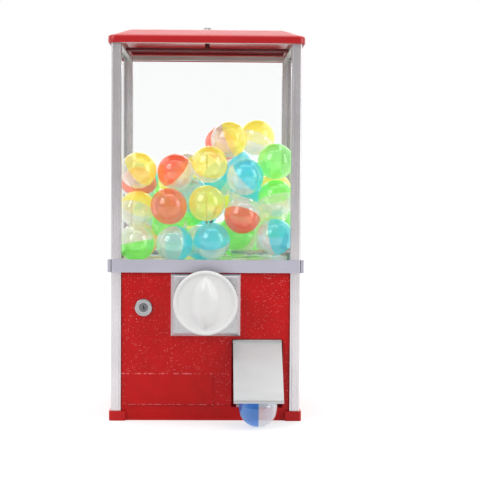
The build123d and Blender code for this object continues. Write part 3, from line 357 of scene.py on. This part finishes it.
for name, finish in nodeFinish.items():
    nodes[name].data.materials.clear()
    nodes[name].data.materials.append(finishes[finish])
print("finishes:", len(finishes))


def gridFaces(rows, columns, closeRows=True):
    # quads of a rows x columns grid whose columns close on themselves, and whose rows may too
    i = np.arange(rows if closeRows else rows - 1)[:, None]
    j = np.arange(columns)[None, :]
    nextI, nextJ = (i + 1) % rows, (j + 1) % columns
    corners = (i * columns + j, i * columns + nextJ, nextI * columns + nextJ, nextI * columns + j)
    return np.stack([np.broadcast_to(c, (i.size, columns)) for c in corners], axis=-1).reshape(-1, 4)


def softened(corners, radius, steps=4):
    # a closed outline with each corner cut back by radius and rounded by a quadratic curve
    corners = np.array(corners, dtype=float)
    before, after = np.roll(corners, 1, axis=0), np.roll(corners, -1, axis=0)
    toBefore, toAfter = before - corners, after - corners
    lengthBefore = np.linalg.norm(toBefore[:, :2], axis=1, keepdims=True)
    lengthAfter = np.linalg.norm(toAfter[:, :2], axis=1, keepdims=True)
    cut = np.minimum(radius, 0.45 * np.minimum(lengthBefore, lengthAfter))
    start, end = corners + toBefore * cut / lengthBefore, corners + toAfter * cut / lengthAfter
    t = np.linspace(0, 1, steps)[None, :, None]
    curve = (1 - t) ** 2 * start[:, None] + 2 * t * (1 - t) * corners[:, None] + t ** 2 * end[:, None]
    return curve.reshape(-1, corners.shape[1])


def cleaned(points, faces):
    # the surface with coincident points merged, so that poles and seams close: points, then faces as lists
    mesh = bpy.data.meshes.new("scratch")
    mesh.from_pydata(points.reshape(-1, 3).tolist(), [], faces.tolist())
    work = bmesh.new()
    work.from_mesh(mesh)
    bmesh.ops.remove_doubles(work, verts=work.verts, dist=1e-7)
    bmesh.ops.recalc_face_normals(work, faces=work.faces)
    work.to_mesh(mesh)
    work.free()
    corners = np.array([v.co for v in mesh.vertices])
    sides = [list(p.vertices) for p in mesh.polygons]
    bpy.data.meshes.remove(mesh)
    return corners, sides


def pieceFrom(name, points, sides, finish, body, slot, *stands):
    # one smooth-shaded piece that rides on a body and takes the place of CAD nodes
    mesh = bpy.data.meshes.new(name)
    mesh.from_pydata(points.tolist(), [], sides)
    mesh.polygons.foreach_set("use_smooth", np.ones(len(mesh.polygons), dtype=bool))
    mesh.materials.append(finishes[finish])
    mesh.update()
    piece = bpy.data.objects.new(name, mesh)
    scene.collection.objects.link(piece)
    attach(piece, body)
    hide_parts(*stands)
    return piece


def sharpen(piece, angle):
    # edges sharper than the angle, in degrees, stay crisp
    piece.data.set_sharp_from_angle(angle=math.radians(angle))


def squareRings(outline, arc=10):
    # each row of the outline (half width, height, corner radius) becomes a square with round corners:
    # corner centre at half - radius, plus radius times (cos, sin) over each quarter turn
    turn = (np.arange(4)[:, None] * 90 + np.linspace(0, 90, arc)[None, :]) * math.pi / 180
    signX = np.array([1, -1, -1, 1])[:, None]
    signY = np.array([1, 1, -1, -1])[:, None]
    half, height, corner = (outline[:, i][:, None, None] for i in range(3))
    x = signX * (half - corner) + corner * np.cos(turn)
    y = signY * (half - corner) + corner * np.sin(turn)
    z = np.broadcast_to(height, x.shape)
    return np.stack([x, y, z], axis=-1).reshape(len(outline), -1, 3) * mm


lidShape = {"half": 120.0, "flat": 96.0, "low": 461.0, "edge": 470.0, "top": 480.0, "wall": 1.6,
            "ledge": 104.0, "ledgeUp": 7.0, "ledgeRoot": 5.6, "hole": 4.05, "bend": 2.4, "hold": 6.0,
            "hem": 0.7, "corner": 9.0, "lowCorner": 8.4, "highCorner": 6.6, "flatCorner": 6.0,
            "innerCorner": 7.4, "insetCorner": 5.0, "ledgeCorner": 4.0, "inset": 1.4, "crisp": 0.3}


def makeLid(s):
    # a closed outline run round the square: outer wall, slope, flat and hole, and the same again inside,
    # with a ledge
    half, flat, edge, top, hole = s["half"], s["flat"], s["edge"], s["top"], s["hole"]
    wall, hold, corner, flatCorner = s["wall"], s["hold"], s["corner"], s["flatCorner"]
    rest = s["low"] + s["ledgeUp"]
    slope = (top - edge) / (half - flat)
    drop = slope * hold
    crisp, bend, hem = s["crisp"], s["bend"], s["hem"]
    # half width, height, corner radius, bend radius; rows a hold away from a bend keep its neighbours flat
    rows = np.array([
        (half, s["low"], corner, hem), (half, edge - hold, corner, crisp), (half, edge, corner, bend),
        (half - hold, edge + drop, s["lowCorner"], crisp), (flat + hold, top - drop, s["highCorner"], crisp),
        (flat, top, flatCorner, bend), (flat - hold, top, flatCorner, crisp),
        (hole + hold, top, hole + hold, crisp), (hole, top, hole, 0.1), (hole, top - wall, hole, 0.1),
        (flat - s["inset"], top - wall, s["insetCorner"], bend),
        (half - s["ledgeRoot"], rest + wall, flatCorner, 1.0),
        (s["ledge"], rest + wall, s["ledgeCorner"], crisp), (s["ledge"], rest, s["ledgeCorner"], crisp),
        (half - wall, rest, s["innerCorner"], 0.6), (half - wall, s["low"], s["innerCorner"], hem)])
    rings = squareRings(softened(rows[:, :3], rows[:, 3:]))
    points, sides = cleaned(rings, gridFaces(*rings.shape[:2]))
    return pieceFrom("lid_shell", points, sides, "lid", "lid", "red_lid", "lid")


sharpen(makeLid(lidShape), 50)
print("lid made")


knobShape = {"height": 147.0, "radius": 39.0, "back": 122.4, "flange": 131.4, "face": 143.0, "rim": 2.3,
             "rimStart": 34.4, "rimClimb": 1.6, "grip": 8.4, "gripLong": 32.0, "gripWide": 19.0, "hub": 15.0,
             "bore": 4.0, "boreEnd": 138.0, "edge": 1.7, "hubFillet": 0.8, "hubEdge": 0.4}


def makeKnob(s, columns=144):
    # polar height field: the face, a raised rim near the edge, and a lens-shaped ridge whose half width at
    # height z is sqrt(R^2 - z^2) - (R - wide); the ridge falls off as a raised cosine across that width
    edge, outer, hub = s["edge"], s["radius"] - s["edge"], s["hub"]
    radii = np.concatenate([np.linspace(0, s["rimStart"] - 0.4, 64),
                            np.linspace(s["rimStart"] - 0.2, outer, 14)])
    turn = np.linspace(0, 2 * math.pi, columns, endpoint=False)
    x, z = radii[:, None] * np.cos(turn), radii[:, None] * np.sin(turn)
    lens = (s["gripLong"] ** 2 + s["gripWide"] ** 2) / (2 * s["gripWide"])
    wide = np.sqrt(np.maximum(lens ** 2 - z ** 2, 0)) - (lens - s["gripWide"])
    across = np.clip(np.abs(x) / np.maximum(wide, 0.05), 0, 1)
    along = np.clip(1 - (np.abs(z) / s["gripLong"]) ** 3, 0, 1)
    ridge = s["grip"] * along ** 0.8 * (0.5 + 0.5 * np.cos(math.pi * across ** 1.15)) * (wide > 0)
    climb = np.clip((radii - s["rimStart"]) / s["rimClimb"], 0, 1)[:, None]
    rim = s["rim"] * (3 * climb ** 2 - 2 * climb ** 3)
    out = s["face"] + ridge + rim
    top = s["face"] + s["rim"]
    bend = np.linspace(0, math.pi / 2, 7)[1:]
    # radius and distance forward, from the front edge round to the blind bore in the hub
    back = [(outer + edge * math.sin(a), top - edge + edge * math.cos(a)) for a in bend]
    back += [(outer + edge * math.cos(a), s["flange"] + edge - edge * math.sin(a)) for a in bend[:-1]]
    back += [(outer, s["flange"]), (hub + s["hubFillet"], s["flange"]), (hub, s["flange"] - s["hubFillet"]),
             (hub, s["back"] + s["hubEdge"]), (hub - s["hubEdge"], s["back"]), (s["bore"], s["back"]),
             (s["bore"], s["boreEnd"]), (0, s["boreEnd"])]
    back = np.array(back)
    xs = np.concatenate([x, back[:, :1] * np.cos(turn)])
    zs = np.concatenate([z, back[:, :1] * np.sin(turn)])
    outs = np.concatenate([out, np.broadcast_to(back[:, 1:], (len(back), columns))])
    grid = np.stack([xs, -outs, zs + s["height"]], axis=-1) * mm
    points, sides = cleaned(grid, gridFaces(*grid.shape[:2], closeRows=False))
    return pieceFrom("knob_moulding", points, sides, "white", "knob", "white_plastic", "knob")


sharpen(makeKnob(knobShape), 60)
print("knob made")


nutShape = {"bore": 3.1, "spigot": 4.0, "seat": 480.0, "flange": 7.6, "body": 6.0, "top": 494.0, "teeth": 24,
            "knurl": 0.35, "tip": 1.5, "cap": 3.5}


def makeNut(s, columns=144):
    # a closed outline turned about the upright axis; where knurled, the radius falls by
    # knurl * (1 - cos(teeth * turn)) / 2
    seat, top, bore = s["seat"], s["top"], s["bore"]
    spigot, flange, body = s["spigot"], s["flange"], s["body"]
    # radius, height, share of the knurl's depth
    rows = np.array([(bore, seat - s["tip"], 0), (spigot, seat - s["tip"], 0), (spigot, seat, 0),
                     (flange - 0.3, seat, 0), (flange, seat + 0.3, 0), (flange, seat + 1.1, 0),
                     (flange - 0.3, seat + 1.4, 0), (body, seat + 2.4, 0), (body, seat + 3.4, 0),
                     (body, seat + 3.8, 1), (body, top - 1.8, 1), (body - 0.3, top - 1.3, 0.4),
                     (body - 1.1, top - 0.2, 0), (body - 1.6, top, 0), (1.2, top, 0), (0, top, 0),
                     (0, top - s["cap"], 0), (bore, top - s["cap"], 0)])
    turn = np.linspace(0, 2 * math.pi, columns, endpoint=False)
    radius = rows[:, :1] - rows[:, 2:] * s["knurl"] * (1 - np.cos(s["teeth"] * turn)) / 2
    z = np.broadcast_to(rows[:, 1:2], radius.shape)
    grid = np.stack([radius * np.cos(turn), radius * np.sin(turn), z], axis=-1) * mm
    points, sides = cleaned(grid, gridFaces(*grid.shape[:2]))
    return pieceFrom("thumb_nut", points, sides, "chrome", "lid_nut", "chrome", "lid_nut")


sharpen(makeNut(nutShape), 40)
print("thumb nut made")


shellShape = {"radius": 22.5, "wall": 1.2, "dome": 0.7, "lip": 0.4, "lipHigh": 0.7, "bevel": 0.1,
              "button": 3.4, "dimple": 0.3, "columns": 36, "steps": 12}


def shellTemplate(s, isCup):
    # half a ball with a wall: outer arc from rim to pole, with a small sunk button, then the inner arc back
    arc = np.linspace(0, math.pi / 2, s["steps"])
    outerR, outerZ = s["radius"] * np.cos(arc), s["dome"] + s["radius"] * np.sin(arc)
    outerZ = outerZ - s["dimple"] * np.clip(1 - outerR / s["button"], 0, 1) ** 0.5
    inner, lip, bevel = s["radius"] - s["wall"], s["radius"] + s["lip"], s["bevel"]
    innerR, innerZ = inner * np.cos(arc[::-1]), s["dome"] + inner * np.sin(arc[::-1])
    if isCup:
        high = s["lipHigh"]
        rim = [(inner, 0), (lip - bevel, 0), (lip, bevel), (lip, high - bevel), (lip - bevel, high)]
    else:
        rim = [(inner, 0), (s["radius"] - bevel, 0), (s["radius"], bevel)]
    r = np.concatenate([[p[0] for p in rim], outerR, innerR])
    z = np.concatenate([[p[1] for p in rim], outerZ, innerZ])
    turn = np.linspace(0, 2 * math.pi, s["columns"], endpoint=False)
    height = np.broadcast_to(z[:, None], (len(r), s["columns"]))
    grid = np.stack([r[:, None] * np.cos(turn), r[:, None] * np.sin(turn), height], axis=-1) * mm
    return cleaned(grid, gridFaces(*grid.shape[:2]))


def ringOf(points):
    # rim centre and the direction from rim to pole: the ball is fitted by least squares, then the rim's ring
    system = np.column_stack([2 * points, np.ones(len(points))])
    centre = np.linalg.lstsq(system, (points ** 2).sum(axis=1), rcond=None)[0][:3]
    axis = points.mean(axis=0) - centre
    for band in (1.2 * mm, 0.5 * mm, 0.2 * mm):
        axis = axis / np.linalg.norm(axis)
        along = points @ axis
        rim = points[along < along.min() + band]
        fitted = np.linalg.svd(rim - rim.mean(axis=0))[2][2]
        axis = fitted * np.sign(fitted @ axis)
    system = np.column_stack([2 * rim, np.ones(len(rim))])
    flat = np.linalg.lstsq(system, (rim ** 2).sum(axis=1), rcond=None)[0][:3]
    flat = flat - axis * ((flat - rim.mean(axis=0)) @ axis)
    return flat, axis


def islands(name):
    # the separate solids of a CAD node, as arrays of points: coincident points share a number, and each
    # triangle hands its lowest label to its corners until nothing changes
    mesh = nodes[name].data
    co = np.empty(len(mesh.vertices) * 3)
    mesh.vertices.foreach_get("co", co)
    corner = np.empty(len(mesh.loops), dtype=int)
    mesh.loops.foreach_get("vertex_index", corner)
    keys, number = np.unique(co.reshape(-1, 3).round(6), axis=0, return_inverse=True)
    triangles = number.ravel()[corner].reshape(-1, 3)
    label, before = np.arange(len(keys)), None
    while before is None or (label != before).any():
        before = label.copy()
        np.minimum.at(label, triangles.ravel(), np.repeat(before[triangles].min(axis=1), 3))
        label = label[label]
    return [keys[label == value] for value in np.unique(label)]


def makeShells(name, template, places, finish, body, slot, *stands):
    # the template turned so that its pole follows each axis, and moved to each rim centre
    corners, sides = template
    points, faces = [], []
    for number, (centre, axis) in enumerate(places):
        turn = np.array(Vector(axis).to_track_quat("Z", "Y").to_matrix())
        points.append(corners @ turn.T + centre)
        faces += [[v + number * len(corners) for v in side] for side in sides]
    piece = pieceFrom(name, np.concatenate(points), faces, finish, body, slot, *stands)
    sharpen(piece, 50)
    return piece


cupTemplate, capTemplate = shellTemplate(shellShape, True), shellTemplate(shellShape, False)
for colour in ("yellow", "orange", "green", "blue"):
    name = "capsule_cups_" + colour
    makeShells("cups_" + colour, cupTemplate, [ringOf(p) for p in islands(name)], "cup " + colour, "cabinet",
               "cup_" + colour, name)
capPlaces = [ringOf(p) for p in islands("capsule_caps")]
makeShells("caps_clear", capTemplate, capPlaces, "cap", "cabinet", "clear_cap", "capsule_caps")
for part, template, finish, slot in (("cup", cupTemplate, "cup served", "cup_blue"),
                                     ("cap", capTemplate, "cap", "clear_cap")):
    makeShells("served_" + part + "_shell", template, [ringOf(p) for p in islands("served_" + part)], finish,
               "served_capsule", slot, "served_" + part)
print("capsules made:", len(capPlaces) + 1)


def pale(name, colour, lift):
    # matt white; seen directly or in a reflection it also shines a little, so that it reads as white
    material, tree = newMaterial(name)
    body = add(tree, "BsdfDiffuse", {"Color": colour})
    seen = add(tree, "LightPath")
    either = maths(tree, "MAXIMUM", seen.outputs["Is Camera Ray"], seen.outputs["Is Glossy Ray"])
    either = maths(tree, "MAXIMUM", either, seen.outputs["Is Transmission Ray"])
    shine = add(tree, "Emission", {"Color": (1, 1, 1, 1), "Strength": maths(tree, "MULTIPLY", either, lift)})
    both = add(tree, "AddShader", {0: body.outputs[0], 1: shine.outputs[0]})
    finishWith(tree, both.outputs[0])
    return material


floorLook = {"half": 6.0, "colour": (0.5, 0.495, 0.5, 1), "lift": 0.58}


def makeFloor(look):
    # one flat square
    half = look["half"]
    mesh = bpy.data.meshes.new("floor")
    corners = [(-half, -half, 0), (half, -half, 0), (half, half, 0), (-half, half, 0)]
    mesh.from_pydata(corners, [], [(0, 1, 2, 3)])
    mesh.materials.append(pale("floorWhite", look["colour"], look["lift"]))
    floor = bpy.data.objects.new("floor", mesh)
    scene.collection.objects.link(floor)


def softLight(name, at, towards, size, power):
    # a rectangular lamp of size metres, that faces a point
    lamp = bpy.data.lights.new(name, "AREA")
    lamp.shape, lamp.size, lamp.size_y, lamp.energy = "RECTANGLE", size[0], size[1], power
    held = bpy.data.objects.new(name, lamp)
    held.location = at
    held.rotation_euler = (Vector(towards) - Vector(at)).to_track_quat("-Z", "Y").to_euler()
    scene.collection.objects.link(held)


makeFloor(floorLook)
softLight("keyLeft", (-1.5, -1.5, 1.5), (0, 0, 0.25), (1.2, 1.4), 17)
softLight("fillRight", (1.8, -1.0, 0.9), (0, 0, 0.2), (0.9, 1.6), 10)
softLight("overhead", (0, 0.1, 2.2), (0, 0, 0), (2.0, 2.0), 14)
softLight("rearRim", (0.2, 2.2, 1.2), (0, 0, 0.3), (2.4, 1.2), 14)

# the room lights the object with a gradient, darker behind the camera and to the left; the camera sees white
room = {"front": (1.8, 0.55), "frontSpan": (0.3, -0.9), "side": (0.82, 0.92), "sideSpan": (-0.2, 0.9),
        "level": 0.72}
world = bpy.data.worlds.new("studio")
scene.world = world
world.use_nodes = True
tree = world.node_tree
tree.nodes.clear()
seen = add(tree, "LightPath")
direction = add(tree, "TexCoord")
split = add(tree, "SeparateXYZ", {"Vector": direction.outputs["Generated"]})
front = between(tree, split.outputs["Y"], *room["front"], *room["frontSpan"])
side = between(tree, split.outputs["X"], *room["side"], *room["sideSpan"])
level = maths(tree, "MULTIPLY", maths(tree, "MULTIPLY", front, side), room["level"])
walls = add(tree, "Background", {"Color": (1, 1, 1, 1), "Strength": level})
white = add(tree, "Background", {"Color": (1, 1, 1, 1), "Strength": 1.0})
both = add(tree, "MixShader", {0: seen.outputs["Is Camera Ray"], 1: walls.outputs[0], 2: white.outputs[0]})
add(tree, "OutputWorld", {"Surface": both.outputs[0]})

view = {"from": (0.009, -1.671, 0.287), "at": (0.0416, -0.116, 0.2223), "lens": 95.55, "roll": 0.35,
        "sensor": 36.0, "far": 30.0}
camera = bpy.data.objects.new("camera", bpy.data.cameras.new("camera"))
camera.data.lens = view["lens"]
camera.data.sensor_width = view["sensor"]
camera.data.clip_end = view["far"]
camera.location = view["from"]
aim = (Vector(view["at"]) - Vector(view["from"])).to_track_quat("-Z", "Y")
camera.rotation_mode = "QUATERNION"
camera.rotation_quaternion = aim @ Quaternion((0, 0, 1), math.radians(view["roll"]))
scene.collection.objects.link(camera)
scene.camera = camera
scene.view_settings.view_transform = "Standard"
scene.cycles.transparent_max_bounces = 24      # many clear shells stand behind each other
print("stage, light and camera set")
